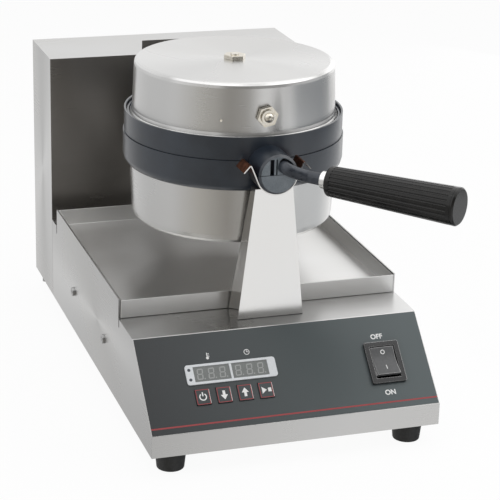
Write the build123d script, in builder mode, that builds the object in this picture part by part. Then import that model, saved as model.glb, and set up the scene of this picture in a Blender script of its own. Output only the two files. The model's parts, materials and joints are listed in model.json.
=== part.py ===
from build123d import *
import math
import os

os.makedirs("parts", exist_ok=True)

# A countertop waffle baker with one round, turning pan. Millimetres, +Z up.
# X runs to the right seen from the front, and Y runs from the front lip to the back.
# Finished pieces move back by frame_shift, so that the origin of the kept model is on
# the table under the middle of the whole outline, from the grip's end to the cord gland.
frame_shift = 15.0

# Cabinet
half_w = 125.0          # half the width of the folded cabinet
sheet = 1.2             # sheet steel of the cabinet
foot_h = 18.0
front_y = -221.5        # front lip
back_y = 229.7          # outer face of the back panel
lip_z = 37.0            # top of the front lip, where the sloped panel starts
deck_y = -159.0         # front edge of the deck
deck_z = 96.4
tower_y = 148.2         # front face of the rear tower
tower_z = 255.6
foot_x = 104.0
foot_front, foot_rear = -203.0, 125.0   # the rear feet stand ahead of the tower
notch_front, notch_back = 36.0, 21.3    # half widths of the recess in the tower
notch_y, notch_z = 202.5, 188.0         # its back wall and its floor

# Drip tray
tray_front, tray_back = -114.0, 127.2
tray_half_w = 123.2
tray_floor_z, tray_top_z = 96.8, 112.8

# Turning pan
pan_y = -27.6           # centre of the round pan
axis_z = 225.5          # the line that the pan turns over on, along Y
part_z = 230.0          # plane where the two halves meet
part_gap = 0.15         # each half stays this far from that plane
boss_r = 17.0
boss_edge = 1.8         # chamfer round its end
boss_y = -152.0         # end face of the split front boss
lower_r, upper_r = 96.5, 95.5
bowl_r = 90.5           # inside of both castings
pin_y = 82.5            # hinge pins of the lid
pin_r = 3.0
tube_r = 10.0           # hollow rear trunnion

# Handle: the rod leaves the upper boss half and bends out to the grip
grip_start = (32.2, -172.9, axis_z)
grip_dir = (0.661, -0.750, 0.0)
grip_len = 116.8
grip_r0, grip_r1 = 12.5, 15.6

slope = math.atan2(deck_z - lip_z, deck_y - front_y)
slope_len = math.hypot(deck_z - lip_z, deck_y - front_y)
# The control panel's own plane: local X across, local Y up the slope, local Z out of it
panel = Plane(origin=(0, front_y, lip_z), x_dir=(1, 0, 0), z_dir=(0, -math.sin(slope), math.cos(slope)))


def save(builder, name):
    """Move one finished node to the kept frame, label it and write it to its own file."""
    node = Pos(0, frame_shift, 0) * builder.part
    node.label = name
    export_step(node, f"parts/{name}.step")


def ribbon(points, thickness):
    """Corner points of a strip of even thickness whose centre line runs through points."""
    left, right = [], []
    for i, (x, y) in enumerate(points):
        x0, y0 = points[max(i - 1, 0)]
        x1, y1 = points[min(i + 1, len(points) - 1)]
        a = (x - x0, y - y0) if i else (x1 - x, y1 - y)
        b = (x1 - x, y1 - y) if i < len(points) - 1 else a
        la, lb = math.hypot(*a), math.hypot(*b)
        na, nb = (-a[1] / la, a[0] / la), (-b[1] / lb, b[0] / lb)
        k = thickness / 2 / (1 + na[0] * nb[0] + na[1] * nb[1])
        dx, dy = (na[0] + nb[0]) * k, (na[1] + nb[1]) * k
        left.append((x + dx, y + dy))
        right.append((x - dx, y - dy))
    return left + right[::-1]


# Cabinet shell: lip, sloped panel, deck and sides are one folded sheet, open towards the tower.
# The side panels rise past the deck as low walls beside the drip tray.
flange_z = 113.6
display_x, display_u = -48.3, 48.9
switch_x, switch_u = 85.4, 41.5
button_x = (-76.6, -58.6, -40.6, -22.6)
button_u = 29.0
button_w, button_h = 12.0, 13.6
board_posts = [(x, u) for x in (-90.0, -6.0) for u in (16.0, 62.0)]
post_screw_at = [(x, y) for x in (-19.0, 19.0) for y in (-134.0, -121.0)]
side_screw_at = [(54.7, 57.1), (-61.5, 57.1)]
foot_at = [(s * foot_x, y) for s in (-1, 1) for y in (foot_front, foot_rear)]
# Underside screws: X, Y and how far each head reaches below the rim
bottom_screw_at = [(-65.0, -213.0, 2.4), (65.0, -213.0, 2.4), (-119.0, 214.0, 10.5), (119.0, 214.0, 10.5)]
rise = sheet / math.cos(slope)
with BuildPart() as base_shell:
    with BuildSketch(Plane.YZ):
        Polygon((front_y, foot_h), (front_y, lip_z), (deck_y, deck_z), (tower_y - 0.4, deck_z),
                (tower_y - 0.4, foot_h), align=None)
    extrude(amount=half_w, both=True)
    with BuildSketch(Plane.YZ):
        Polygon((front_y + sheet, foot_h + sheet),
                (front_y + sheet, lip_z + sheet * math.tan(slope) - rise),
                (front_y + (deck_z - sheet - lip_z + rise) / math.tan(slope), deck_z - sheet),
                (tower_y + 1, deck_z - sheet), (tower_y + 1, foot_h + sheet), align=None)
    extrude(amount=half_w - sheet, both=True, mode=Mode.SUBTRACT)
    # The underside is open inside a folded rim
    with Locations((0, (front_y + tower_y) / 2 + 15, foot_h)):
        Box(2 * (half_w - 34), tower_y - front_y - 30, 4, mode=Mode.SUBTRACT)
    with Locations(*[(s * (half_w - sheet / 2), (tray_front + tray_back) / 2 + 0.4,
                      (deck_z + flange_z) / 2 - 1) for s in (-1, 1)]):
        Box(sheet, tray_back - tray_front - 2, flange_z - deck_z + 2)
    # Bend reliefs at both ends of the raised walls
    with Locations(*[(s * half_w, y, deck_z - 3) for s in (-1, 1)
                     for y in (tray_front - 0.4, tray_back + 0.6)]):
        Box(4, 2.0, 9, mode=Mode.SUBTRACT)
    # Windows in the sloped panel
    with BuildSketch(panel):
        with Locations((display_x, display_u)):
            Rectangle(70, 14.4)
        with Locations(*[(x, button_u) for x in button_x]):
            Rectangle(button_w + 0.7, button_h + 0.7)
        with Locations((switch_x, switch_u)):
            Rectangle(26.6, 33.0)
    extrude(amount=3, both=True, mode=Mode.SUBTRACT)
    # Screw holes for the post, the sides, the feet and the bottom plate
    with Locations(*[(x, y, deck_z) for x, y in post_screw_at]):
        Cylinder(2.2, 8, mode=Mode.SUBTRACT)
    with Locations(*[Location((s * half_w, y, z), (0, 90, 0)) for s in (-1, 1) for y, z in side_screw_at]):
        Cylinder(2.2, 8, mode=Mode.SUBTRACT)
    with Locations(*[(x, y, foot_h) for x, y in foot_at]):
        Cylinder(3.2, 8, mode=Mode.SUBTRACT)
    with Locations(*[(x, y, foot_h) for x, y, drop in bottom_screw_at if y < 0]):
        Cylinder(2.2, 8, mode=Mode.SUBTRACT)
save(base_shell, "base_shell")

# Bottom plate: one sheet that ties the folded rims of the cabinet and the tower together
with BuildPart() as bottom_plate:
    with Locations((0, (front_y + back_y) / 2 - 0.6, foot_h + 1.5 * sheet)):
        Box(2 * (half_w - sheet - 0.8), back_y - front_y - 6.0, sheet)
    with Locations(*[(x, y, foot_h) for x, y in foot_at]):
        Cylinder(3.2, 8, mode=Mode.SUBTRACT)
    with Locations(*[(x, y, foot_h) for x, y, drop in bottom_screw_at]):
        Cylinder(2.2, 8, mode=Mode.SUBTRACT)
    with Locations(*[(x, y, foot_h) for x in (-44, -22, 0, 22, 44) for y in (-140, -110, -80)]):
        Box(14, 4, 8, mode=Mode.SUBTRACT)
save(bottom_plate, "bottom_plate")

# Screws from below: flat heads under the front lip, and tall narrow studs at the tower's rear corners
with BuildPart() as bottom_screws:
    for x, y, drop in bottom_screw_at:
        with Locations((x, y, foot_h - drop / 2)):
            Cylinder(4.0 if y < 0 else 2.4, drop)
        with Locations((x, y, foot_h + 2.5)):
            Cylinder(2.0, 6.0)
        with Locations((x, y, foot_h - drop)):
            Box(0.9, 3.6, 1.2, mode=Mode.SUBTRACT)
save(bottom_screws, "bottom_screws")

# Four tapered rubber feet, each on a screw sunk into it
foot_names = ("foot_front_left", "foot_rear_left", "foot_front_right", "foot_rear_right")
for name, (x, y) in zip(foot_names, foot_at):
    with BuildPart() as foot:
        with Locations((x, y, foot_h / 2)):
            Cone(11.4, 13.2, foot_h)
        with Locations((x, y, 3)):
            Cylinder(6.0, 6.02, mode=Mode.SUBTRACT)
        with Locations((x, y, foot_h / 2)):
            Cylinder(3.1, foot_h, mode=Mode.SUBTRACT)
    save(foot, name)
with BuildPart() as foot_screws:
    for x, y in foot_at:
        with Locations((x, y, 4.6)):
            Cylinder(5.2, 2.8)
        with Locations((x, y, 15.6)):
            Cylinder(3.0, 20.0)
    with BuildSketch(Plane.XY.offset(foot_h + 2 * sheet)):
        with Locations(*foot_at):
            RegularPolygon(5.8, 6)
    extrude(amount=4.5)
save(foot_screws, "foot_screws")

# Pan-head screws in both side panels
with BuildPart() as side_screws:
    for s in (-1, 1):
        for y, z in side_screw_at:
            with Locations(Location((s * (half_w + 1.1), y, z), (0, 90, 0))):
                Cylinder(4.2, 2.2)
            with Locations(Location((s * (half_w - 3), y, z), (0, 90, 0))):
                Cylinder(2.0, 6.2)
            with Locations(Location((s * (half_w - sheet - 1.5), y, z), (0, 90, 0))):
                Cylinder(3.8, 3.0)
            with Locations((s * (half_w + 2.2), y, z)):
                Box(1.2, 0.9, 5.4, mode=Mode.SUBTRACT)
                Box(1.2, 5.4, 0.9, mode=Mode.SUBTRACT)
save(side_screws, "side_screws")

# Printed film that covers the whole sloped panel, with holes for the keys and the switch
film = 0.35
with BuildPart() as panel_overlay:
    with BuildSketch(panel):
        with Locations((0, slope_len / 2)):
            Rectangle(2 * half_w - 1.4, slope_len - 1.6)
        with Locations((display_x, display_u)):
            Rectangle(70, 14.4, mode=Mode.SUBTRACT)
        with Locations(*[(x, button_u) for x in button_x]):
            Rectangle(button_w + 0.7, button_h + 0.7, mode=Mode.SUBTRACT)
        with Locations((switch_x, switch_u)):
            Rectangle(26.6, 33.0, mode=Mode.SUBTRACT)
    extrude(amount=film)
save(panel_overlay, "panel_overlay")

# Rounded bezel round the two read-outs, and their dark windows
window_x = (-64.8, -32.0)
with BuildPart() as display_bezel:
    with BuildSketch(panel.offset(film)):
        with Locations((display_x, display_u)):
            RectangleRounded(77.6, 17.5, 2.5)
        with Locations(*[(x, display_u) for x in window_x]):
            Rectangle(31.0, 13.4, mode=Mode.SUBTRACT)
    extrude(amount=1.3)
    with BuildSketch(panel.offset(film)):
        with Locations((display_x, display_u)):
            Rectangle(69.4, 13.8)
        with Locations(*[(x, display_u) for x in window_x]):
            Rectangle(31.0, 13.4, mode=Mode.SUBTRACT)
    extrude(amount=-4.5)
save(display_bezel, "display_bezel")
for name, x in (("display_window_left", window_x[0]), ("display_window_right", window_x[1])):
    with BuildPart() as window:
        with BuildSketch(panel.offset(film - 4.4)):
            with Locations((x, display_u)):
                Rectangle(30.8, 13.2)
        extrude(amount=5.2)
    save(window, name)

# Control board behind the read-outs and keys, on four studs
with BuildPart() as display_board:
    with BuildSketch(panel.offset(-9.4)):
        with Locations((-48, 39)):
            Rectangle(92, 54)
    extrude(amount=1.6)
    with BuildSketch(panel.offset(-7.8)):
        with Locations(*board_posts):
            Circle(2.6)
    extrude(amount=7.8 - sheet)
    with BuildSketch(panel.offset(-7.8)):
        with Locations(*[(x, display_u) for x in window_x]):
            Rectangle(30, 12.6)
    extrude(amount=3.4)
    with BuildSketch(panel.offset(-7.8)):
        with Locations(*[(x, button_u) for x in button_x]):
            Rectangle(6.2, 6.2)
    extrude(amount=2.4)
    with BuildSketch(panel.offset(-9.4)):
        with Locations((-30, 40)):
            Rectangle(22, 12)
        with Locations((-66, 34)):
            Rectangle(12, 30)
    extrude(amount=-4)
save(display_board, "display_board")

# Four square keys; each has a flange below the sheet that stops it from coming out
for name, x in zip(("mode_button", "down_button", "up_button", "timer_button"), button_x):
    with BuildPart() as key:
        with BuildSketch(panel.offset(-3.4)):
            with Locations((x, button_u)):
                RectangleRounded(button_w, button_h, 1.0)
        extrude(amount=3.4 + film + 1.0)
        with BuildSketch(panel.offset(-3.6)):
            with Locations((x, button_u)):
                Rectangle(button_w + 2.6, button_h + 2.6)
        extrude(amount=0.9)
    save(key, name)

# Switch: a thick frame clipped into the panel, and a rocker that tips on a cross pin
rocker_tilt = -7.0
pivot_w = -2.0
with BuildPart() as switch_bezel:
    with BuildSketch(panel.offset(film)):
        with Locations((switch_x, switch_u)):
            RectangleRounded(30.8, 37.4, 1.6)
            Rectangle(21.8, 28.6, mode=Mode.SUBTRACT)
    extrude(amount=2.8)
    with BuildSketch(panel.offset(film)):
        with Locations((switch_x, switch_u)):
            Rectangle(26.0, 32.4)
            Rectangle(21.8, 28.6, mode=Mode.SUBTRACT)
    extrude(amount=-22.0)
    with BuildSketch(panel.offset(film - 22.0)):
        with Locations((switch_x, switch_u)):
            Rectangle(26.0, 32.4)
    extrude(amount=-2.0)
    with BuildSketch(panel.offset(film - 24.0)):
        with Locations(*[(switch_x + dx, switch_u + du) for dx in (-7, 7) for du in (-9, 9)]):
            Rectangle(6.3, 0.8)
    extrude(amount=-8.0)
save(switch_bezel, "switch_bezel")
rocker_plane = Plane(panel.from_local_coords(Vector(switch_x, switch_u, pivot_w)), x_dir=(1, 0, 0),
                     z_dir=panel.z_dir.rotate(Axis.X, rocker_tilt))
with BuildPart() as switch_rocker:
    with BuildSketch(Plane(rocker_plane.from_local_coords(Vector(-10.5, 0, 0)), x_dir=rocker_plane.y_dir,
                           z_dir=(1, 0, 0))):
        Polygon((-13.2, 3.2), (-13.2, 6.4), (-7.0, 5.0), (0, 4.2), (7.0, 5.0), (13.2, 6.4), (13.2, 3.2),
                (5.0, -6.0), (-5.0, -6.0), align=None)
    extrude(amount=21.0)
save(switch_rocker, "switch_rocker")

# Power board with relays and a transformer, on studs over the bottom plate
board_z = foot_h + 2 * sheet + 8.0
with BuildPart() as power_board:
    with Locations((0, 30, board_z + 0.8)):
        Box(130, 90, 1.6)
    with Locations(*[(x, y, board_z - 4) for x in (-60, 60) for y in (-10, 70)]):
        Cylinder(3, 8)
    with Locations(*[(x, 48, board_z + 9.6) for x in (-44, -18, 8)]):
        Box(20, 28, 16)
    with Locations((42, 40, board_z + 15)):
        Box(34, 40, 27)
    with Locations((-40, 8, board_z + 7)):
        Cylinder(8, 11)
save(power_board, "power_board")
with BuildPart() as terminal_block:
    with Locations((-60, 190, foot_h + 2 * sheet + 9)):
        Box(46, 20, 18)
    with Locations(*[(-60 + dx, 190, foot_h + 2 * sheet + 18) for dx in (-15, 0, 15)]):
        Cylinder(3.6, 6, mode=Mode.SUBTRACT)
save(terminal_block, "terminal_block")

# Tower shell: a box of sheet with a recess for the rear bearing, wider at its front
bearing_y = (168.0, 190.0)
bearing_screw_at = [(s * 12.0, y) for s in (-1, 1) for y in (173.0, 185.0)]
panel_screw_at = [(s * 118.5, z) for s in (-1, 1) for z in (30.0, 136.0, 244.0)]
shell_back = back_y - sheet
with BuildPart() as tower_shell:
    with Locations((0, (tower_y + shell_back) / 2, (foot_h + tower_z) / 2)):
        Box(2 * half_w, shell_back - tower_y, tower_z - foot_h)
    with Locations((0, (tower_y + shell_back) / 2, (foot_h + tower_z) / 2)):
        Box(2 * (half_w - sheet), shell_back - tower_y - 2 * sheet, tower_z - foot_h - 2 * sheet,
            mode=Mode.SUBTRACT)
    with Locations((0, shell_back, (foot_h + tower_z) / 2)):
        Box(2 * (half_w - 13), 8, tower_z - foot_h - 24, mode=Mode.SUBTRACT)
    with Locations((0, tower_y, (foot_h + sheet + 88) / 2)):
        Box(2 * (half_w - sheet), 8, 88 - foot_h - sheet, mode=Mode.SUBTRACT)
    with Locations((0, 169, foot_h)):
        Box(2 * (half_w - 34), 46, 6, mode=Mode.SUBTRACT)
    with BuildSketch(Plane.XY.offset(notch_z - sheet)):
        Polygon((-notch_front - sheet, tower_y), (notch_front + sheet, tower_y),
                (notch_back + sheet, notch_y + sheet), (-notch_back - sheet, notch_y + sheet), align=None)
    extrude(amount=tower_z - notch_z + sheet)
    with BuildSketch(Plane.XY.offset(notch_z)):
        Polygon((-notch_front - 0.3, tower_y - 1), (notch_front + 0.3, tower_y - 1),
                (notch_back, notch_y), (-notch_back, notch_y), align=None)
    extrude(amount=tower_z - notch_z + 1, mode=Mode.SUBTRACT)
    with Locations(Location((0, notch_y, axis_z), (90, 0, 0))):
        Cylinder(7.5, 8, mode=Mode.SUBTRACT)
    with Locations(*[(x, y, notch_z) for x, y in bearing_screw_at]):
        Cylinder(2.2, 8, mode=Mode.SUBTRACT)
    with Locations(*[(x, y, foot_h) for x, y, drop in bottom_screw_at if y > 0]):
        Cylinder(2.2, 8, mode=Mode.SUBTRACT)
    with Locations(*[Location((x, shell_back, z), (90, 0, 0)) for x, z in panel_screw_at]):
        Cylinder(2.2, 8, mode=Mode.SUBTRACT)
save(tower_shell, "tower_shell")

# Back panel with cooling slots and the hole of the cord gland
gland_x, gland_z = -80.0, 48.0
gland_end = 242.165       # outer end of its dome nut
with BuildPart() as tower_back_panel:
    with Locations((0, shell_back + sheet / 2, (foot_h + tower_z) / 2)):
        Box(2 * half_w - 0.8, sheet, tower_z - foot_h - 0.8)
    with BuildSketch(Plane(origin=(0, back_y, 0), x_dir=(-1, 0, 0), z_dir=(0, 1, 0))):
        with Locations((0, 100)):
            with GridLocations(14, 44, 11, 2):
                RectangleRounded(4.5, 34, 2.2)
    extrude(amount=-4, mode=Mode.SUBTRACT)
    with Locations(Location((gland_x, back_y, gland_z), (90, 0, 0))):
        Cylinder(8.1, 8, mode=Mode.SUBTRACT)
    with Locations(*[Location((x, back_y, z), (90, 0, 0)) for x, z in panel_screw_at]):
        Cylinder(2.2, 8, mode=Mode.SUBTRACT)
save(tower_back_panel, "tower_back_panel")
with BuildPart() as back_panel_screws:
    for x, z in panel_screw_at:
        with Locations(Location((x, back_y + 1.1, z), (90, 0, 0))):
            Cylinder(4.0, 2.2)
        with Locations(Location((x, back_y - 2.9, z), (90, 0, 0))):
            Cylinder(2.0, 6.0)
        with Locations((x, back_y + 2.2, z)):
            Box(5.2, 1.2, 0.9, mode=Mode.SUBTRACT)
            Box(0.9, 1.2, 5.2, mode=Mode.SUBTRACT)
save(back_panel_screws, "back_panel_screws")
with BuildPart() as cord_gland:
    with Locations(Location((gland_x, back_y + 3.5, gland_z), (90, 0, 0))):
        Cylinder(11, 7)
    with BuildSketch(Plane(origin=(gland_x, back_y + 7, gland_z), x_dir=(-1, 0, 0), z_dir=(0, 1, 0))):
        Circle(9.4)
    with BuildSketch(Plane(origin=(gland_x, gland_end, gland_z), x_dir=(-1, 0, 0), z_dir=(0, 1, 0))):
        Circle(6.4)
    loft()
    with Locations(Location((gland_x, back_y - 5, gland_z), (90, 0, 0))):
        Cylinder(8, 10)
    with BuildSketch(Plane(origin=(gland_x, shell_back, gland_z), x_dir=(1, 0, 0), z_dir=(0, -1, 0))):
        RegularPolygon(12, 6)
    extrude(amount=5)
    with Locations(Location((gland_x, back_y, gland_z), (90, 0, 0))):
        Cylinder(4.2, 120, mode=Mode.SUBTRACT)
save(cord_gland, "cord_gland")

# Rear bearing: a cast block in the recess with a bronze bush for the pan's trunnion
with BuildPart() as bearing_block:
    with BuildSketch(Plane(origin=(0, bearing_y[1], 0), x_dir=(1, 0, 0), z_dir=(0, -1, 0))):
        Polygon((-18, notch_z), (18, notch_z), (18, notch_z + 8), (15, axis_z), (-15, axis_z),
                (-18, notch_z + 8), align=None)
        with Locations((0, axis_z)):
            Circle(18)
            Circle(13, mode=Mode.SUBTRACT)
    extrude(amount=bearing_y[1] - bearing_y[0])
    with Locations(*[(x, y, notch_z + 6) for x, y in bearing_screw_at]):
        Cylinder(2.0, 14, mode=Mode.SUBTRACT)
save(bearing_block, "bearing_block")
with BuildPart() as bearing_screws:
    for x, y in bearing_screw_at:
        with Locations((x, y, notch_z + 3)):
            Cylinder(1.95, 11)
        with Locations((x, y, notch_z - sheet - 1.3)):
            Cylinder(3.8, 2.6)
save(bearing_screws, "bearing_screws")
with BuildPart() as bearing_bush:
    with Locations(Location((0, (bearing_y[0] + bearing_y[1]) / 2, axis_z), (90, 0, 0))):
        Cylinder(13, bearing_y[1] - bearing_y[0])
        Cylinder(tube_r + 0.06, 40, mode=Mode.SUBTRACT)
save(bearing_bush, "bearing_bush")
with BuildPart() as wire_grommet:
    with Locations(Location((0, notch_y + sheet / 2, axis_z), (90, 0, 0))):
        Cylinder(9.5, 3.6)
    with Locations(Location((0, notch_y + sheet / 2, axis_z), (90, 0, 0))):
        Cylinder(10, sheet, mode=Mode.SUBTRACT)
        Cylinder(7.5, sheet)
        Cylinder(5.0, 12, mode=Mode.SUBTRACT)
save(wire_grommet, "wire_grommet")

# Removable drip tray: a shallow folded pan between the raised side walls
with BuildPart() as drip_tray:
    with Locations((0, (tray_front + tray_back) / 2, (tray_floor_z + tray_top_z) / 2)):
        Box(2 * tray_half_w, tray_back - tray_front, tray_top_z - tray_floor_z)
    with Locations((0, (tray_front + tray_back) / 2, (tray_floor_z + tray_top_z) / 2 + 1.0)):
        Box(2 * tray_half_w - 2, tray_back - tray_front - 2, tray_top_z - tray_floor_z, mode=Mode.SUBTRACT)
save(drip_tray, "drip_tray")

# Front post: a tapered folded channel, open at the back, cut out round at the top for the saddle
post_front = -141.5
post_top = 211.0
post_w0, post_d0 = 58.0, 26.4
post_w1, post_d1 = 33.0, 10.5
saddle_r = boss_r + 0.4
strap_t = 1.0
with BuildPart() as front_post:
    with BuildSketch(Plane.XY.offset(deck_z)):
        with Locations((0, post_front + post_d0 / 2)):
            Rectangle(post_w0, post_d0)
    with BuildSketch(Plane.XY.offset(post_top)):
        with Locations((0, post_front + post_d1 / 2)):
            Rectangle(post_w1, post_d1)
    loft()
    with BuildSketch(Plane.XY.offset(deck_z - 1)):
        with Locations((0, post_front + post_d0 / 2 + 2)):
            Rectangle(post_w0 - 4, post_d0 + 0.2)
    with BuildSketch(Plane.XY.offset(post_top + 1)):
        with Locations((0, post_front + post_d1 / 2 + 2)):
            Rectangle(post_w1 - 4, post_d1 + 0.2)
    loft(mode=Mode.SUBTRACT)
    with Locations((0, post_front + 13, deck_z + 1)):
        Box(post_w0 - 4, 22, 2)
    with Locations((0, post_front + 6.5, axis_z - saddle_r - strap_t - 1.6)):
        Box(post_w1 - 2.5, 9, 3)
    with Locations(Location((0, post_front, axis_z), (90, 0, 0))):
        Cylinder(saddle_r + strap_t + 0.05, 60, mode=Mode.SUBTRACT)
    with Locations(*[(x, y, deck_z) for x, y in post_screw_at]):
        Cylinder(2.2, 8, mode=Mode.SUBTRACT)
save(front_post, "front_post")
with BuildPart() as post_screws:
    for x, y in post_screw_at:
        with Locations((x, y, deck_z + 3.2)):
            Cylinder(3.6, 2.4)
        with Locations((x, y, deck_z - 1.5)):
            Cylinder(2.0, 8)
        with Locations((x, y, deck_z - sheet - 1.5)):
            Cylinder(3.8, 3.0)
save(post_screws, "post_screws")

# Saddle strap: spring sheet bent in a U under the boss, with its ends folded out and down
arc_r = saddle_r + strap_t / 2
fold = [(22.3, 7.0), (22.9, 7.9), (23.9, 7.8), (28.9, 2.3)]
strap_line = [(-x, z) for x, z in fold[::-1]]
strap_line += [(arc_r * math.cos(math.radians(a)), arc_r * math.sin(math.radians(a)))
               for a in range(-150, -29, 4)]
strap_line += fold
with BuildPart() as saddle_strap:
    with BuildSketch(Plane(origin=(0, -127.4, axis_z), x_dir=(1, 0, 0), z_dir=(0, -1, 0))):
        Polygon(*ribbon(strap_line, strap_t), align=None)
    extrude(amount=21.1)
save(saddle_strap, "saddle_strap")

# Sketch plane through the pan's centre line: local X is the radius, local Y the height
spin = Plane(origin=(0, pan_y, 0), x_dir=(1, 0, 0), z_dir=(0, -1, 0))
spin_axis = Axis((0, pan_y, 0), (0, 0, 1))
front = Plane(origin=(0, -118, axis_z), x_dir=(1, 0, 0), z_dir=(0, -1, 0))

# Lower pan half: the cast ring with half of the boss, two hinge lugs and the trunnion pad
low_top, high_bottom = part_z - part_gap, part_z + part_gap
low_lug_x, high_lug_x = 31.0, 18.5
with BuildPart() as lower_casting:
    with BuildSketch(front):
        Circle(boss_r)
        with Locations((0, 20 - 0.2)):
            Rectangle(60, 40, mode=Mode.SUBTRACT)
    extrude(amount=-118 - boss_y)
    chamfer(lower_casting.edges().filter_by(GeomType.CIRCLE).sort_by(Axis.Y)[0], boss_edge)
    with Locations(*[(s * low_lug_x, (56 + pin_y) / 2, (214 + low_top) / 2) for s in (-1, 1)]):
        Box(14, pin_y - 56, low_top - 214)
    with Locations(*[Location((s * low_lug_x, pin_y, part_z), (0, 90, 0)) for s in (-1, 1)]):
        Cylinder(7.0, 14)
        Cylinder(pin_r, 30, mode=Mode.SUBTRACT)
    with Locations((0, 64, (205 + 229.6) / 2)):
        Box(25, 12, 229.6 - 205)
    with Locations((0, pan_y, 215)):
        Cylinder(93, 60, mode=Mode.SUBTRACT)
    with BuildSketch(spin):
        Polygon((bowl_r + 0.5, 203), (93, 203), (lower_r - 1, 206), (lower_r, 210), (lower_r, low_top),
                (bowl_r, low_top), (bowl_r, 222), (80, 222), (80, 219), (bowl_r + 0.5, 219), align=None)
    revolve(axis=spin_axis)
    with Locations(Location((0, 66, 219.5), (90, 0, 0))):
        Cylinder(4.5, 14, mode=Mode.SUBTRACT)
    with Locations(*[Location((s * 8.0, 67, 210), (90, 0, 0)) for s in (-1, 1)]):
        Cylinder(2.0, 16, mode=Mode.SUBTRACT)
save(lower_casting, "lower_casting")

# Upper pan half: ring with an upstanding rim and a groove, half boss with the rod's socket, lugs
rod_x, rod_z = 4.2, 232.2
rod_r = 5.2
with BuildPart() as upper_casting:
    with BuildSketch(front):
        Circle(boss_r)
        with Locations((0, -20 + 0.2)):
            Rectangle(60, 40, mode=Mode.SUBTRACT)
    extrude(amount=-118 - boss_y)
    chamfer(upper_casting.edges().filter_by(GeomType.CIRCLE).sort_by(Axis.Y)[0], boss_edge)
    # Slots with a rib beside the rod, and the hollow round the rod's root
    with BuildSketch(Plane(origin=(0, boss_y, axis_z), x_dir=(1, 0, 0), z_dir=(0, -1, 0))):
        with Locations((-6.0, 6.6)):
            Rectangle(3.4, 13.6)
        with Locations((-2.0, 6.6)):
            Rectangle(1.0, 13.6)
    extrude(amount=-7, mode=Mode.SUBTRACT)
    with BuildSketch(Plane(origin=(0, boss_y, axis_z), x_dir=(1, 0, 0), z_dir=(0, -1, 0))):
        with Locations((6.6, 8.4)):
            Circle(6.9)
        Circle(14.6, mode=Mode.INTERSECT)
    extrude(amount=-6, mode=Mode.SUBTRACT)
    with Locations((0, pan_y, high_bottom - 10)):
        Cylinder(lower_r + 0.5, 20, mode=Mode.SUBTRACT)
    with Locations(*[(s * high_lug_x, (56 + pin_y) / 2, (242 + high_bottom) / 2) for s in (-1, 1)]):
        Box(10.2, pin_y - 56, 242 - high_bottom)
    with Locations(*[Location((s * high_lug_x, pin_y, part_z), (0, 90, 0)) for s in (-1, 1)]):
        Cylinder(7.0, 10.2)
        Cylinder(pin_r + 0.05, 20, mode=Mode.SUBTRACT)
    with Locations((0, pan_y, 245)):
        Cylinder(92, 60, mode=Mode.SUBTRACT)
    with BuildSketch(spin):
        Polygon((bowl_r, high_bottom), (upper_r, high_bottom), (upper_r, 249.7), (upper_r - 1.6, 249.7),
                (upper_r - 1.6, 244), (92.8, 244), (92.8, 247.4), (91.3, 247.4), (91.3, 241), (80, 241),
                (80, 238), (bowl_r, 238), align=None)
    revolve(axis=spin_axis)
    # Relief that lets the ring swing up over the trunnion
    with Locations(Location((0, pin_y, part_z), (0, 90, 0))):
        Cylinder(15.2, 26, mode=Mode.SUBTRACT)
    with Locations(Location((rod_x, boss_y + 10, rod_z), (90, 0, 0))):
        Cylinder(rod_r, 21, mode=Mode.SUBTRACT)
save(upper_casting, "upper_casting")

# Waffle plates: discs with a sunk face of square pockets and a groove for the heater behind, each
# inside a rim that stands above the pockets and closes the waffle's edge
plate_rim_r, sunk = 84.0, 3.85
cell = 20.0
cells = [(x * cell / 2, y * cell / 2) for x in range(-7, 8, 2) for y in range(-7, 8, 2)
         if math.hypot(x, y) * cell / 2 < 72.2]
heater_ring, heater_r = 58.0, 3.5
for half, sign, face, back in (("lower", -1, low_top, 211.0), ("upper", 1, high_bottom, 249.0)):
    with BuildPart() as rim:
        with BuildSketch(Plane.XY.offset(face)):
            with Locations((0, pan_y)):
                Circle(bowl_r - 0.3)
                Circle(plate_rim_r, mode=Mode.SUBTRACT)
        extrude(amount=sign * 7.65)
    save(rim, f"{half}_plate_rim")
    with BuildPart() as plate:
        with BuildSketch(Plane.XY.offset(face + sign * sunk)):
            with Locations((0, pan_y)):
                Circle(plate_rim_r)
        extrude(amount=sign * (7.65 - sunk))
        with BuildSketch(Plane.XY.offset(face + sign * sunk)):
            with Locations((0, pan_y)):
                Circle(79.6)
        extrude(amount=sign * (abs(back - face) - sunk))
        with BuildSketch(Plane.XY.offset(face + sign * sunk)):
            with Locations(*[(x, pan_y + y) for x, y in cells]):
                Rectangle(15.0, 15.0)
        extrude(amount=sign * 11.0, taper=9, mode=Mode.SUBTRACT)
        with Locations((0, pan_y, back)):
            Torus(heater_ring, heater_r + 0.1, mode=Mode.SUBTRACT)
    save(plate, f"{half}_grid_plate")

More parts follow.
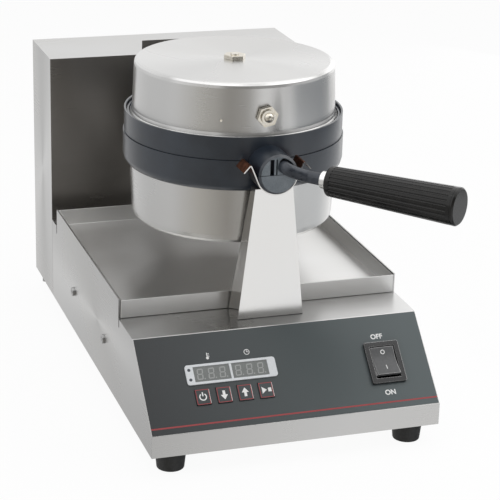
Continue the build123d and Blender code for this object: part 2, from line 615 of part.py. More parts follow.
# Tubular heaters with two terminals each, insulation discs, spun housings and centre bolts
for half, sign, back in (("lower", -1, 211.0), ("upper", 1, 249.0)):
    ends = [(heater_ring * math.cos(math.radians(a)), pan_y + heater_ring * math.sin(math.radians(a)))
            for a in (80.0, 100.0)]
    with BuildPart() as element:
        with BuildSketch(Plane(origin=(ends[1][0], ends[1][1], back), x_dir=(math.cos(math.radians(100)),
                               math.sin(math.radians(100)), 0), z_dir=(-math.sin(math.radians(100)),
                               math.cos(math.radians(100)), 0))):
            Circle(heater_r)
        revolve(axis=spin_axis, revolution_arc=340)
        with Locations(*[(x, y, back + sign * 9) for x, y in ends]):
            Cylinder(2.4, 18)
    save(element, f"{half}_element")
    with BuildPart() as insulation:
        with Locations((0, pan_y, back + sign * (heater_r + 3.5))):
            Cylinder(78, 7)
            Cylinder(4.4, 20, mode=Mode.SUBTRACT)
        with Locations(*[(x, y, back + sign * 7) for x, y in ends]):
            Cylinder(2.8, 20, mode=Mode.SUBTRACT)
    save(insulation, f"{half}_insulation")

shell_t = 0.8
lower_line = [(90.4, 218.6), (90.4, 203.0), (88.4, 161.0), (87.9, 157.6), (86.4, 155.4), (83.6, 154.6),
              (0, 154.6)]
upper_line = [(90.4, 241.4), (90.4, 246.6), (89.1, 248.4), (88.3, 251.5), (86.7, 288.6), (86.2, 290.8),
              (84.9, 292.2), (82.8, 292.7), (0, 292.7)]
fitting_z = 266.0
for name, line in (("lower_housing", lower_line), ("upper_housing", upper_line)):
    with BuildPart() as housing:
        with BuildSketch(spin):
            Polygon(*ribbon(line, shell_t), align=None)
        revolve(axis=spin_axis)
        with Locations((0, pan_y, line[-1][1])):
            Cylinder(4.2, 6, mode=Mode.SUBTRACT)
        if name == "upper_housing":
            with Locations(Location((0, -114, fitting_z), (90, 0, 0))):
                Cylinder(4.6, 20, mode=Mode.SUBTRACT)
            with Locations(Location((-37, -105.5, 262), (90, 0, 0))):
                Cylinder(1.1, 12, mode=Mode.SUBTRACT)
    save(housing, name)

nut_t = 3.5
for half, sign, back, skin in (("lower", -1, 211.0, 154.2), ("upper", 1, 249.0, 293.1)):
    with BuildPart() as tie_bolt:
        with Locations((0, pan_y, (back + skin + sign * (nut_t + 1.2)) / 2)):
            Cylinder(4.0, abs(skin + sign * (nut_t + 1.2) - back))
        with BuildSketch(Plane.XY.offset(skin)):
            with Locations((0, pan_y)):
                RegularPolygon(9.8, 6)
        extrude(amount=sign * nut_t)
    save(tie_bolt, f"{half}_tie_bolt")

# Temperature probe of the lower half, clipped to the insulation
with BuildPart() as lower_probe:
    with Locations(Location((30, pan_y, 197.9), (0, 90, 0))):
        Cylinder(2.6, 34)
    with Locations((30, pan_y, 197.9)):
        Box(6, 9, 5.2)
save(lower_probe, "lower_probe")

# Probe fitting on the front of the upper housing: hex nut, washer face and a domed stud
fit_face = -116.2
with BuildPart() as probe_fitting:
    with BuildSketch(Plane(origin=(0, fit_face, fitting_z), x_dir=(1, 0, 0), z_dir=(0, -1, 0))):
        RegularPolygon(9.2, 6, rotation=12)
    extrude(amount=4.6)
    with Locations(Location((0, fit_face - 5.6, fitting_z), (90, 0, 0))):
        Cylinder(6.2, 2.4)
    with Locations((0, fit_face - 6.2, fitting_z)):
        Sphere(4.3)
    with Locations(Location((0, fit_face + 6, fitting_z), (90, 0, 0))):
        Cylinder(4.4, 13)
save(probe_fitting, "probe_fitting")
with BuildPart() as housing_rivet:
    with Locations(Location((-37, -106.4, 262), (90, 0, 0))):
        Cylinder(1.0, 5.4)
save(housing_rivet, "housing_rivet")

# Trunnion: foot plate and hollow tube that carry the pan in the rear bearing, with its collar
with BuildPart() as trunnion:
    with Locations((0, 72.5, (205 + 229.6) / 2)):
        Box(25, 5, 229.6 - 205)
    with Locations(Location((0, (70 + 199) / 2, axis_z), (90, 0, 0))):
        Cylinder(tube_r, 199 - 70)
    with Locations(Location((0, (76 + 199) / 2 + 2, axis_z), (90, 0, 0))):
        Cylinder(7.0, 199 - 76 + 4, mode=Mode.SUBTRACT)
    with Locations(Location((0, 72, 219.5), (90, 0, 0))):
        Cylinder(4.5, 12, mode=Mode.SUBTRACT)
    with Locations(*[Location((s * 8.0, 72, 210), (90, 0, 0)) for s in (-1, 1)]):
        Cylinder(2.0, 12, mode=Mode.SUBTRACT)
save(trunnion, "trunnion")
with BuildPart() as trunnion_screws:
    for s in (-1, 1):
        with Locations(Location((s * 8.0, 76.6, 210), (90, 0, 0))):
            Cylinder(3.4, 3.2)
            Cylinder(1.6, 1.6, mode=Mode.SUBTRACT)
        with Locations(Location((s * 8.0, 69.5, 210), (90, 0, 0))):
            Cylinder(1.9, 11.5)
save(trunnion_screws, "trunnion_screws")
with BuildPart() as trunnion_collar:
    with Locations(Location((0, 193.6, axis_z), (90, 0, 0))):
        Cylinder(14.0, 6.0)
        Cylinder(tube_r, 8.0, mode=Mode.SUBTRACT)
save(trunnion_collar, "trunnion_collar")

# Two short hinge pins, one through each pair of lugs
with BuildPart() as hinge_pins:
    for s in (-1, 1):
        with Locations(Location((s * 26.0, pin_y, part_z), (0, 90, 0))):
            Cylinder(pin_r, 25.6)
        with Locations(Location((s * 39.4, pin_y, part_z), (0, 90, 0))):
            Cylinder(4.6, 2.4)
save(hinge_pins, "hinge_pins")

# Handle: bent rod, bright ferrule, fluted grip that widens outward, and its end cap
grip = Plane(origin=grip_start, x_dir=(0, 0, 1), z_dir=grip_dir)
ferrule_at, grip_at = -2.4, 4.2
cap_at = grip_len


def along(distance):
    """Point on the grip's centre line, measured from the rod's outer bend."""
    return tuple(p + d * distance / math.hypot(*grip_dir) for p, d in zip(grip_start, grip_dir))


with BuildPart() as handle_rod:
    with BuildLine() as rod_path:
        l1 = Line((rod_x, boss_y + 20.2, rod_z), (rod_x, boss_y - 1.5, rod_z))
        l2 = Spline((rod_x, boss_y - 1.5, rod_z), along(-13), tangents=((0, -1, 0), grip_dir),
                    tangent_scalars=(1.25, 1.1))
        l3 = Line(along(-13), along(70))
    with BuildSketch(Plane(origin=(rod_x, boss_y + 20.2, rod_z), z_dir=(0, -1, 0))):
        Circle(rod_r)
    sweep()
save(handle_rod, "handle_rod")
with BuildPart() as handle_ferrule:
    with BuildSketch(grip.offset(ferrule_at)):
        Circle(7.2)
        Circle(rod_r, mode=Mode.SUBTRACT)
    extrude(amount=grip_at - ferrule_at)
save(handle_ferrule, "handle_ferrule")
flutes = 24
grip_taper = math.degrees(math.atan((grip_r1 - grip_r0) / (cap_at - grip_at)))
with BuildPart() as handle_grip:
    with BuildSketch(grip.offset(grip_at)):
        Circle(grip_r0)
    with BuildSketch(grip.offset(cap_at)):
        Circle(grip_r1)
    loft()
    fillet(handle_grip.edges().filter_by(GeomType.CIRCLE).sort_by(lambda e: e.radius)[0], 2.0)
    with Locations(grip.offset((grip_at + cap_at) / 2 + 1)):
        with PolarLocations((grip_r0 + grip_r1) / 2 + 0.6, flutes):
            Cylinder(1.1, cap_at - grip_at - 8, rotation=(0, grip_taper, 0), mode=Mode.SUBTRACT)
    with BuildSketch(grip.offset(grip_at)):
        Circle(rod_r)
    extrude(amount=70.2 - grip_at, mode=Mode.SUBTRACT)
save(handle_grip, "handle_grip")
with BuildPart() as grip_end_cap:
    with BuildSketch(grip.offset(cap_at)):
        Circle(grip_r1)
    extrude(amount=3.0)
    chamfer(grip_end_cap.faces().sort_by(Axis(grip_start, grip_dir))[-1].edges(), 1.4)
save(grip_end_cap, "grip_end_cap")
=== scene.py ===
import json
import math

import bmesh
import bpy
from mathutils import Matrix, Vector

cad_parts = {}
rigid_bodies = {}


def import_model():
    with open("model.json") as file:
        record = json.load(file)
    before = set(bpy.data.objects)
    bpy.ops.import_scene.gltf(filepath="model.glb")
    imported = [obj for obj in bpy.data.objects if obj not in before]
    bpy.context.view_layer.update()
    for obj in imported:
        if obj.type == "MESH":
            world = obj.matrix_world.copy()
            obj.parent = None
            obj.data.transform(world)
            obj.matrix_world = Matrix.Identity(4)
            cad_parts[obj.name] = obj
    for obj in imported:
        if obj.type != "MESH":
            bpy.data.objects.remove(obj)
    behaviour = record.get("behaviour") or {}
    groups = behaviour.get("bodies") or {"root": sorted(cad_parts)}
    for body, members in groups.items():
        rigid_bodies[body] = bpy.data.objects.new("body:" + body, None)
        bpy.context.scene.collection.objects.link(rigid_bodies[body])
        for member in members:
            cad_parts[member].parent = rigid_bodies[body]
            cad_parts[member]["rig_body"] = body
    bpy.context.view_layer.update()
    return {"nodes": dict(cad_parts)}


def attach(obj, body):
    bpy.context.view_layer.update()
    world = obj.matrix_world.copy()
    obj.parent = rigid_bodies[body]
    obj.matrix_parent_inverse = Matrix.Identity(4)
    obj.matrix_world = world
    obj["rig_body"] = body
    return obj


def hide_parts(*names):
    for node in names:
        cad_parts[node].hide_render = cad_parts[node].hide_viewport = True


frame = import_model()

mm = 0.001

# The camera stands in front of the cabinet, to its left and above it, far enough back for
# the long lens of a product photograph. It leans a little, as the photograph does.
camera_at = Vector((-468.28, -1453.17, 670.18)) * mm
turned, tipped, leaned = math.radians(18.681), math.radians(20.071), math.radians(1.585)
ahead = Vector((math.sin(turned) * math.cos(tipped),
                math.cos(turned) * math.cos(tipped), -math.sin(tipped)))
level = Vector((math.cos(turned), -math.sin(turned), 0))
above = level.cross(ahead)
across = level * math.cos(leaned) + above * math.sin(leaned)
upward = above * math.cos(leaned) - level * math.sin(leaned)
lens = bpy.data.cameras.new("product_lens")
lens.sensor_width = 36
lens.lens = 129.18
camera = bpy.data.objects.new("product_camera", lens)
camera.matrix_world = (Matrix.Translation(camera_at)
                       @ Matrix((across, upward, -ahead)).transposed().to_4x4())
bpy.context.scene.collection.objects.link(camera)
bpy.context.scene.camera = camera
bpy.context.scene.view_settings.view_transform = "Standard"


# The studio is a white table in front of a white wall. Above the table, the front of the room
# is dark, and low down it has light and dark stretches, which sheet metal shows as soft bands.
def add_node(tree, kind, settings=None, **inputs):
    """Add one shader node. Each keyword names an input, or numbers it as i0 does, and gives
    its value or its source."""
    node = tree.nodes.new("ShaderNode" + kind)
    for key, value in (settings or {}).items():
        setattr(node, key, value)
    for key, value in inputs.items():
        key = key.replace("_", " ")
        socket = node.inputs[int(key[1:]) if key[0] == "i" and key[1:].isdigit() else key]
        if isinstance(value, bpy.types.NodeSocket):
            tree.links.new(value, socket)
        else:
            socket.default_value = value
    return node


def along(tree, source, axis):
    """One coordinate of a source: Object is the place on the piece, Normal is how it faces."""
    coordinates = add_node(tree, "TexCoord").outputs[source]
    return add_node(tree, "SeparateXYZ", Vector=coordinates).outputs[axis]


def maths(tree, operation, first, second=0.0, clamped=False):
    """One step of arithmetic."""
    settings = {"operation": operation, "use_clamp": clamped}
    return add_node(tree, "Math", settings, i0=first, i1=second).outputs[0]


def share_of(tree, value, start, full, course="LINEAR"):
    """0 where value is at start, 1 where it is at full."""
    return add_node(tree, "MapRange", {"interpolation_type": course}, Value=value,
                    From_Min=start, From_Max=full).outputs[0]


def blended(tree, share, first, second, how="MIX"):
    """Two colours together, with the given share of the second."""
    settings = {"data_type": "RGBA", "blend_type": how}
    return add_node(tree, "Mix", settings, i0=share, i6=first, i7=second).outputs[2]


def grey(tone):
    """A grey as a shader socket takes it."""
    return (tone, tone, tone, 1)


def ramp(tree, source, stops):
    """A colour ramp fed by source; stops are (position, colour or grey)."""
    node = tree.nodes.new("ShaderNodeValToRGB")
    tree.links.new(source, node.inputs["Fac"])
    elements = node.color_ramp.elements
    while len(elements) < len(stops):
        elements.new(0.5)
    for element, (position, colour) in zip(elements, stops):
        element.position = position
        element.color = grey(colour) if isinstance(colour, (int, float)) else (*colour, 1)
    return node.outputs["Color"]


room = bpy.data.worlds.new("white_studio")
bpy.context.scene.world = room
room.use_nodes = True
air = room.node_tree
air.nodes.clear()
to_front = maths(air, "MULTIPLY", along(air, "Generated", "Y"), -1.0)
bearing = maths(air, "ARCTAN2", along(air, "Generated", "X"), to_front)
around = share_of(air, bearing, -math.pi, math.pi)


def bands(stops):
    """Light round the room; stops are (bearing, colour), with 0 in front and 90 on the right."""
    return ramp(air, around, [((degrees + 180) / 360, colour) for degrees, colour in stops])


low_bands = bands([(-180, 0.80), (-160, 0.74), (-128, 0.62), (-90, 0.66),
                   (-55, (0.52, 0.505, 0.47)), (-22, (0.34, 0.325, 0.30)),
                   (-2, (0.46, 0.45, 0.43)), (16, 1.0), (34, 0.95), (60, (0.30, 0.315, 0.33)),
                   (100, (0.24, 0.255, 0.27)), (128, 0.52), (150, 0.80), (180, 0.80)])
high_bands = bands([(-180, 1.0), (-125, 1.0), (-85, 0.60), (-50, (0.24, 0.235, 0.225)),
                    (45, (0.20, 0.20, 0.195)), (66, 0.55), (95, 0.95), (130, 1.0), (180, 1.0)])
ceiling, ambient = grey(0.62), grey(0.42)
raised = share_of(air, along(air, "Generated", "Z"), -0.06, 0.10, "SMOOTHSTEP")
overhead = share_of(air, along(air, "Generated", "Z"), 0.55, 0.9, "SMOOTHSTEP")
shown = blended(air, overhead, blended(air, raised, low_bands, high_bands), ceiling)
ray = add_node(air, "LightPath").outputs
mirrored = maths(air, "MAXIMUM", ray["Is Glossy Ray"], ray["Is Transmission Ray"])
lit = blended(air, mirrored, ambient, shown)
glow = add_node(air, "Background", Color=blended(air, ray["Is Camera Ray"], lit, grey(1.0)))
air.links.new(glow.outputs[0], add_node(air, "OutputWorld").inputs["Surface"])


# Four large and weak softboxes hang round the table and are turned to the pan.
def flat_lamp(name, place, sides, power):
    """A flat lamp that shines down until it is turned."""
    light = bpy.data.lights.new(name, "AREA")
    light.shape = "RECTANGLE"
    light.size, light.size_y = sides
    light.energy = power
    lamp = bpy.data.objects.new(name, light)
    lamp.location = place
    bpy.context.scene.collection.objects.link(lamp)
    return lamp


aim = Vector((0, 0, 0.12))
for name, place, side, power in (("left_softbox", (-0.9, -0.5, 1.2), 1.7, 7.0),
                                 ("right_softbox", (1.0, -0.4, 1.1), 1.3, 4.0),
                                 ("back_softbox", (0.9, 0.75, 0.4), 0.8, 1.2),
                                 ("top_softbox", (0.25, 0.1, 1.5), 1.8, 8.0)):
    softbox = flat_lamp(name, place, (side, side), power)
    softbox.rotation_euler = (aim - Vector(place)).to_track_quat("-Z", "Y").to_euler()

# A small lit card, low on the right and out of the picture, whitens the right of the lower drum.
card = flat_lamp("low_card", (0.25, -0.08, 0.115), (0.15, 0.48), 0.10)
card.rotation_euler = (0, math.radians(90), 0)
card.visible_camera = False

# The white table is a paper sweep. The camera sees it almost pure white, and it keeps a
# part of the cabinet's shadow.
table_half, table_top, white_share = 8.0, -0.0004, 0.94
table = bpy.data.objects.new("paper_sweep", bpy.data.meshes.new("paper_sweep"))
table.data.from_pydata([(x * table_half, y * table_half, table_top)
                        for x, y in ((-1, -1), (1, -1), (1, 1), (-1, 1))], [], [(0, 1, 2, 3)])
bpy.context.scene.collection.objects.link(table)
table.visible_glossy = False
paper = bpy.data.materials.new("white_paper")
paper.use_nodes = True
sweep = paper.node_tree
sweep.nodes.clear()
matt = add_node(sweep, "BsdfDiffuse", Color=grey(0.9))
white = add_node(sweep, "Emission", Color=grey(1.0), Strength=1.0)
ray = add_node(sweep, "LightPath").outputs
direct = maths(sweep, "ADD", ray["Is Camera Ray"], ray["Is Glossy Ray"], clamped=True)
cover = add_node(sweep, "MixShader", i0=maths(sweep, "MULTIPLY", direct, white_share),
                 i1=matt.outputs[0], i2=white.outputs[0])
sweep.links.new(cover.outputs[0], add_node(sweep, "OutputMaterial").inputs["Surface"])
table.data.materials.append(paper)


# The cabinet is folded stainless sheet with a long grain. The deck, the sides and the front
# lip are one sheet, and its bends are rounded to about the sheet's own thickness. Towards its
# front left corner the sheet's colour is darkened as painted shade.
def surface(name, colour, rough, metal=0.0, **sockets):
    """A new material with its main shader set; texture nodes are added to its tree."""
    material = bpy.data.materials.new(name)
    material.use_nodes = True
    main = material.node_tree.nodes["Principled BSDF"]
    main.inputs["Base Color"].default_value = (*colour, 1)
    main.inputs["Roughness"].default_value = rough
    main.inputs["Metallic"].default_value = metal
    for key, value in sockets.items():
        main.inputs[key.replace("_", " ")].default_value = value
    return material, material.node_tree, main


def texture(tree, scale, detail=4.0, roughness=0.55, stretch=(1, 1, 1)):
    """A noise in the piece's own metres; scale is repeats per metre, stretch scales each axis."""
    place = add_node(tree, "Mapping", Vector=add_node(tree, "TexCoord").outputs["Object"],
                     Scale=tuple(scale * s for s in stretch))
    return add_node(tree, "TexNoise", Vector=place.outputs[0], Scale=1.0, Detail=detail,
                    Roughness=roughness).outputs["Fac"]


def tint(tree, main, source, dark, light, low=0.3, high=0.7):
    """Colour that follows source from dark to light."""
    tree.links.new(ramp(tree, source, [(low, dark), (high, light)]), main.inputs["Base Color"])


def vary_gloss(tree, main, source, least, most, low=0.3, high=0.7):
    """Roughness that follows source between least and most."""
    spread = add_node(tree, "MapRange", Value=source, From_Min=low, From_Max=high,
                      To_Min=least, To_Max=most)
    tree.links.new(spread.outputs[0], main.inputs["Roughness"])


def relief(tree, main, source, depth, strength=1.0):
    """Bump of the given depth in metres."""
    bump = add_node(tree, "Bump", Height=source, Strength=strength, Distance=depth)
    tree.links.new(bump.outputs[0], main.inputs["Normal"])


def mixed(tree, first, second, share):
    """Two sources added, with the given share of the second."""
    return add_node(tree, "Mix", {"data_type": "FLOAT"}, i0=share, i2=first, i3=second).outputs[0]


def brushed(name, light, rough, spread=0.04, round_z=False):
    """Stainless with a fine grain: across the cabinet and along its sides, or round a drum."""
    material, tree, main = surface(name, (light,) * 3, rough, 1.0)
    main.inputs["Anisotropic"].default_value = 0.8
    main.inputs["Anisotropic Rotation"].default_value = 0.25 if round_z else 0.0
    tangent = add_node(tree, "Tangent", {"direction_type": "RADIAL",
                                         "axis": "Z" if round_z else "X"})
    tree.links.new(tangent.outputs[0], main.inputs["Tangent"])

    def grain(*stretch):
        """Scratches, drawn out along the axes with a small stretch."""
        return texture(tree, 700, 3.0, 0.6, stretch)

    if round_z:
        lines = grain(0.02, 0.02, 1)
    else:
        sideways = maths(tree, "ABSOLUTE", along(tree, "Normal", "X"))
        lines = mixed(tree, grain(0.012, 1, 1), grain(1, 0.012, 1), sideways)
    clouds, line_share = texture(tree, 7, 2.0, 0.5), 0.15
    tone = mixed(tree, clouds, lines, line_share)
    dark, low, high = light - spread, 0.36, 0.64
    tint(tree, main, tone, (dark, dark * 0.99, dark * 0.97),
         (light, light * 0.998, light * 0.99), low, high)
    vary_gloss(tree, main, tone, rough - 0.03, rough + 0.04, low, high)
    relief(tree, main, lines, 0.00001, 0.06)
    return material


def toned(material, share, tone, how="MULTIPLY"):
    """Darken the colour of a surface by a tone, or turn it into the tone, by the given share."""
    tree = material.node_tree
    colour = tree.nodes["Principled BSDF"].inputs["Base Color"]
    tree.links.new(blended(tree, share, colour.links[0].from_socket, (*tone, 1), how), colour)


def painted_facing_shade(material, axis, least, most, tone):
    """Paint shade on the faces whose normal, along one axis, lies past least, and fully past most.
    """
    tree = material.node_tree
    toned(material, share_of(tree, along(tree, "Normal", axis), least, most), tone)


def coat(material, *nodes):
    """Give CAD nodes their surface."""
    for node in nodes:
        frame["nodes"][node].data.materials.clear()
        frame["nodes"][node].data.materials.append(material)


def show(name, mesh, *materials):
    """A new piece in the scene, with its surfaces."""
    for material in materials:
        mesh.materials.append(material)
    piece = bpy.data.objects.new(name, mesh)
    bpy.context.scene.collection.objects.link(piece)
    return piece


def eased(node, radius, skin, steps=2, sharpest=38.0, keep=None, highlight_skin=None, smooth=35.0):
    """A copy of a node whose sharp edges are rounded over, as bent, cast and machined ones are.
    Edges that keep turns down stay sharp, and the rounded ones can have a second surface that
    paints their highlight."""
    shape = bmesh.new()
    shape.from_mesh(frame["nodes"][node].data)
    bmesh.ops.remove_doubles(shape, verts=shape.verts, dist=1e-6)
    bmesh.ops.dissolve_limit(shape, angle_limit=math.radians(0.5), verts=shape.verts,
                             edges=shape.edges)
    corners = [edge for edge in shape.edges if len(edge.link_faces) == 2
               and edge.calc_face_angle(0) > math.radians(sharpest)
               and (keep is None or keep(edge))]
    if corners:
        bmesh.ops.bevel(shape, geom=corners, offset=radius, offset_type="OFFSET",
                        segments=steps, profile=0.5, affect="EDGES", clamp_overlap=True,
                        material=1 if highlight_skin else -1)
    mesh = bpy.data.meshes.new(f"{node}_eased")
    shape.to_mesh(mesh)
    shape.free()
    mesh.shade_smooth()
    mesh.set_sharp_from_angle(angle=math.radians(smooth))
    piece = show(f"{node}_eased", mesh, *([skin, highlight_skin] if highlight_skin else [skin]))
    piece.modifiers.new("even_shading", "WEIGHTED_NORMAL").keep_sharp = True
    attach(piece, frame["nodes"][node]["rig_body"])
    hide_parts(node)
    return piece


fold_radius = 0.9 * mm
cabinet_steel = brushed("cabinet_steel", 0.61, 0.28)
tree = cabinet_steel.node_tree
from_corner = maths(tree, "ADD", along(tree, "Object", "X"), along(tree, "Object", "Y"))
# Painted shade: the sheet's colour is darkened towards its front left corner.
toned(cabinet_steel, share_of(tree, from_corner, -0.16, -0.33), (0.78, 0.78, 0.78))
eased("base_shell", fold_radius, cabinet_steel)
coat(cabinet_steel, "bottom_plate")

# The tower is a box of the same sheet. Its front has the recess for the bearing and is darkened
# as painted shade where the pan stands before it, and a vented panel closes its back.
tower_steel = brushed("tower_steel", 0.66, 0.28)
# Painted shade: the faces of the tower that face the front are darkened.
painted_facing_shade(tower_steel, "Y", -0.5, -0.9, (0.41, 0.39, 0.37))
eased("tower_shell", fold_radius, tower_steel)
eased("tower_back_panel", 0.25 * mm, tower_steel, steps=1)


# The post is a tapered channel of brighter sheet, bent up from one blank. Its left side is
# darkened as painted shade, and round its foot a thin dark slab paints the shadow line where it
# stands on the deck.
def slabs(name, outlines, skin, body):
    """Thin slabs as one piece. Each is two closed lists of places, round its foot and its top."""
    shape = bmesh.new()
    for rims in outlines:
        low, top = ([shape.verts.new(place) for place in rim] for rim in rims)
        shape.faces.new(top)
        shape.faces.new(low[::-1])
        for i, corner in enumerate(low):
            after = (i + 1) % len(low)
            shape.faces.new((corner, low[after], top[after], top[i]))
    bmesh.ops.recalc_face_normals(shape, faces=shape.faces)
    mesh = bpy.data.meshes.new(name)
    shape.to_mesh(mesh)
    shape.free()
    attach(show(name, mesh, skin), body)


post_steel = brushed("post_steel", 0.78, 0.17, 0.03)
# Painted shade: the faces of the post that face left are darkened.
painted_facing_shade(post_steel, "X", -0.5, -0.9, (0.40, 0.39, 0.38))
eased("front_post", fold_radius, post_steel)
# Painted shadow: a thin dark slab round the post's foot stands for the shadow line on the deck.
foot_shadow_dark = surface("foot_shadow_dark", (0.03, 0.03, 0.03), 0.7)[0]
foot_shadow_half, foot_shadow_front, foot_shadow_back, foot_shadow_low, foot_shadow_top = 28.95, -126.55, -100.1, 96.41, 96.95
foot_plan = [(-foot_shadow_half, foot_shadow_front), (foot_shadow_half, foot_shadow_front),
             (foot_shadow_half, foot_shadow_back), (-foot_shadow_half, foot_shadow_back)]
slabs("post_foot_shadow", [[[Vector((x, y, z)) * mm for x, y in foot_plan]
                          for z in (foot_shadow_low, foot_shadow_top)]], foot_shadow_dark, "base")

# The drip tray is a shallow folded pan of brighter sheet. It lies loose on the deck, between
# the cabinet's raised walls, and lifts out for cleaning.
tray_steel = brushed("tray_steel", 0.78, 0.35, 0.05)
eased("drip_tray", 0.6 * mm, tray_steel)

# The two drums are spun from thin sheet, one over the pan and one under it, and the grain runs
# round them. A bolt through the middle of each holds it on.
drum_steel = brushed("drum_steel", 0.69, 0.26, 0.03, round_z=True)
coat(drum_steel, "lower_housing", "upper_housing")

# The pan's two rings and the bearing block are castings with a blue-black coat, which takes a
# sheen at a flat angle. The end of the split boss is machined, and the two halves of the pan
# meet on a sharp line.
casting_skin, tree, main = surface("blue_black_casting", (0.03, 0.04, 0.055), 0.42,
                                   Specular_IOR_Level=0.6, Coat_Weight=0.5, Coat_Roughness=0.22)
grit = texture(tree, 1500, 5.0, 0.65)
patches = texture(tree, 45, 3.0, 0.5)
tint(tree, main, mixed(tree, grit, patches, 0.6), (0.007, 0.012, 0.021), (0.017, 0.026, 0.040),
     0.35, 0.65)
vary_gloss(tree, main, mixed(tree, grit, patches, 0.5), 0.28, 0.40, 0.35, 0.65)
relief(tree, main, grit, 0.0001, 0.5)
machined, tree, main = surface("machined_boss_end", (0.12, 0.135, 0.15), 0.42, 0.5)
tint(tree, main, mixed(tree, texture(tree, 900, 4.0), texture(tree, 120, 2.0), 0.5),
     (0.13, 0.15, 0.17), (0.22, 0.245, 0.265))
boss_face, parting_height, close = -136.9 * mm, 230.0 * mm, 0.4 * mm


def off_parting(edge):
    """False for an edge that lies in the plane where the pan's halves meet."""
    return any(abs(corner.co.z - parting_height) > close for corner in edge.verts)


for node, keep in (("lower_casting", off_parting), ("upper_casting", off_parting),
                   ("bearing_block", None)):
    piece = eased(node, 0.7 * mm, casting_skin, keep=keep)
    piece.data.materials.append(machined)
    for face in piece.data.polygons:
        if all(piece.data.vertices[i].co.y < boss_face for i in face.vertices):
            face.material_index = 1

# The waffle plates are cast iron discs of square pockets, each inside a rim that closes the
# waffle's edge. Use has darkened them and left some places shinier than others.
plate_skin, tree, main = surface("seasoned_plate", (0.045, 0.043, 0.04), 0.4, 0.35)
grit = texture(tree, 1200, 4.0, 0.6)
patches = texture(tree, 60, 3.0, 0.5)
tint(tree, main, patches, (0.028, 0.026, 0.024), (0.075, 0.068, 0.06))
vary_gloss(tree, main, mixed(tree, grit, patches, 0.6), 0.28, 0.5)
relief(tree, main, grit, 0.00008, 0.5)
coat(plate_skin, "lower_grid_plate", "upper_grid_plate", "lower_plate_rim", "upper_plate_rim")

# The heaters are bent tubes with a metal sheath, set into grooves behind the plates. The probe
# beside them is a capsule with the same heat-browned skin.
sheath, tree, main = surface("oxidised_sheath", (0.2, 0.17, 0.14), 0.5, 0.9)
tint(tree, main, texture(tree, 160, 4.0), (0.10, 0.085, 0.075), (0.30, 0.25, 0.20))
coat(sheath, "lower_element", "upper_element", "lower_probe")

# A disc of fibre board, cut from thick sheet, keeps the heat in behind each plate. The bolt of
# the drum holds it down on the heater.
board, tree, main = surface("fibre_board", (0.72, 0.68, 0.58), 0.9)
fibres = texture(tree, 900, 5.0, 0.7, (1, 0.2, 1))
tint(tree, main, fibres, (0.60, 0.55, 0.46), (0.80, 0.77, 0.68))
relief(tree, main, fibres, 0.0002, 0.6)
coat(board, "lower_insulation", "upper_insulation")

# Most nuts, screws and pins are nickel plated, with a slightly yellow cast. The screws in the
# cabinet's sides, under its lip and in the back panel are zinc plated and greyer.
nickel, tree, main = surface("nickel_plate", (0.72, 0.68, 0.60), 0.22, 1.0)
tarnish = texture(tree, 300, 3.0)
tint(tree, main, tarnish, (0.60, 0.55, 0.46), (0.80, 0.77, 0.70))
vary_gloss(tree, main, tarnish, 0.14, 0.30)
zinc, tree, main = surface("zinc_plate", (0.5, 0.5, 0.5), 0.34, 1.0)
tint(tree, main, texture(tree, 300, 3.0), (0.40, 0.40, 0.40), (0.58, 0.58, 0.58))
for node in ("upper_tie_bolt", "lower_tie_bolt", "probe_fitting", "hinge_pins", "post_screws"):
    eased(node, 0.35 * mm, nickel)
for node in ("side_screws", "bottom_screws", "back_panel_screws"):
    eased(node, 0.35 * mm, zinc)
coat(nickel, "foot_screws", "bearing_screws", "trunnion_screws", "housing_rivet")

# The saddle under the boss is spring strip. Heat has browned the faces of its folded ends, the
# legs under the boss are painted dark grey as shade, and the cut edges are still bright.
strap_steel, tree, main = surface("spring_strip", (0.6, 0.5, 0.42), 0.3, 1.0)
tint(tree, main, texture(tree, 220, 3.0), (0.20, 0.075, 0.035), (0.42, 0.17, 0.09), 0.35, 0.65)
brown_over, shade_below = 227.5 * mm, 223.5 * mm
# Painted shade: the strip turns dark grey below the boss's middle.
toned(strap_steel, share_of(tree, along(tree, "Object", "Z"), brown_over, shade_below),
      (0.22, 0.21, 0.21), "MIX")
edge_on = maths(tree, "ABSOLUTE", along(tree, "Normal", "Y"))
toned(strap_steel, share_of(tree, edge_on, 0.6, 0.9), (0.74, 0.73, 0.71), "MIX")
coat(strap_steel, "saddle_strap")

# The trunnion is a turned steel tube that carries the pan at the back, with a turned collar on
# its end. It runs in a bronze bush that is pressed into the bearing block.
turned_steel = brushed("turned_steel", 0.5, 0.3, 0.08)
coat(turned_steel, "trunnion", "trunnion_collar")
bronze, tree, main = surface("turned_bronze", (0.62, 0.40, 0.18), 0.3, 1.0)
tint(tree, main, texture(tree, 400, 3.0), (0.48, 0.29, 0.12), (0.68, 0.46, 0.23))
coat(bronze, "bearing_bush")

# The handle is a bent rod with a dark finish, a bright ferrule, and a black fluted moulding
# with a cap on its end.
rod_finish, tree, main = surface("dark_rod", (0.035, 0.04, 0.05), 0.32, 0.2)
wear = texture(tree, 240, 3.0)
tint(tree, main, wear, (0.022, 0.027, 0.036), (0.050, 0.057, 0.070))
vary_gloss(tree, main, wear, 0.24, 0.4)
eased("handle_rod", 0.3 * mm, rod_finish, sharpest=70, smooth=60)
ferrule_metal, tree, main = surface("ferrule_metal", (0.86, 0.86, 0.85), 0.3, 1.0)
tint(tree, main, texture(tree, 600, 3.0), (0.78, 0.78, 0.77), (0.90, 0.90, 0.89))
eased("handle_ferrule", 0.7 * mm, ferrule_metal, steps=3)
phenolic, tree, main = surface("black_moulding", (0.012, 0.012, 0.012), 0.2,
                               Specular_IOR_Level=0.32)
sheen = texture(tree, 180, 3.0)
tint(tree, main, sheen, (0.006, 0.006, 0.006), (0.014, 0.013, 0.012))
vary_gloss(tree, main, sheen, 0.16, 0.26)
coat(phenolic, "handle_grip")
eased("grip_end_cap", 0.25 * mm, phenolic)

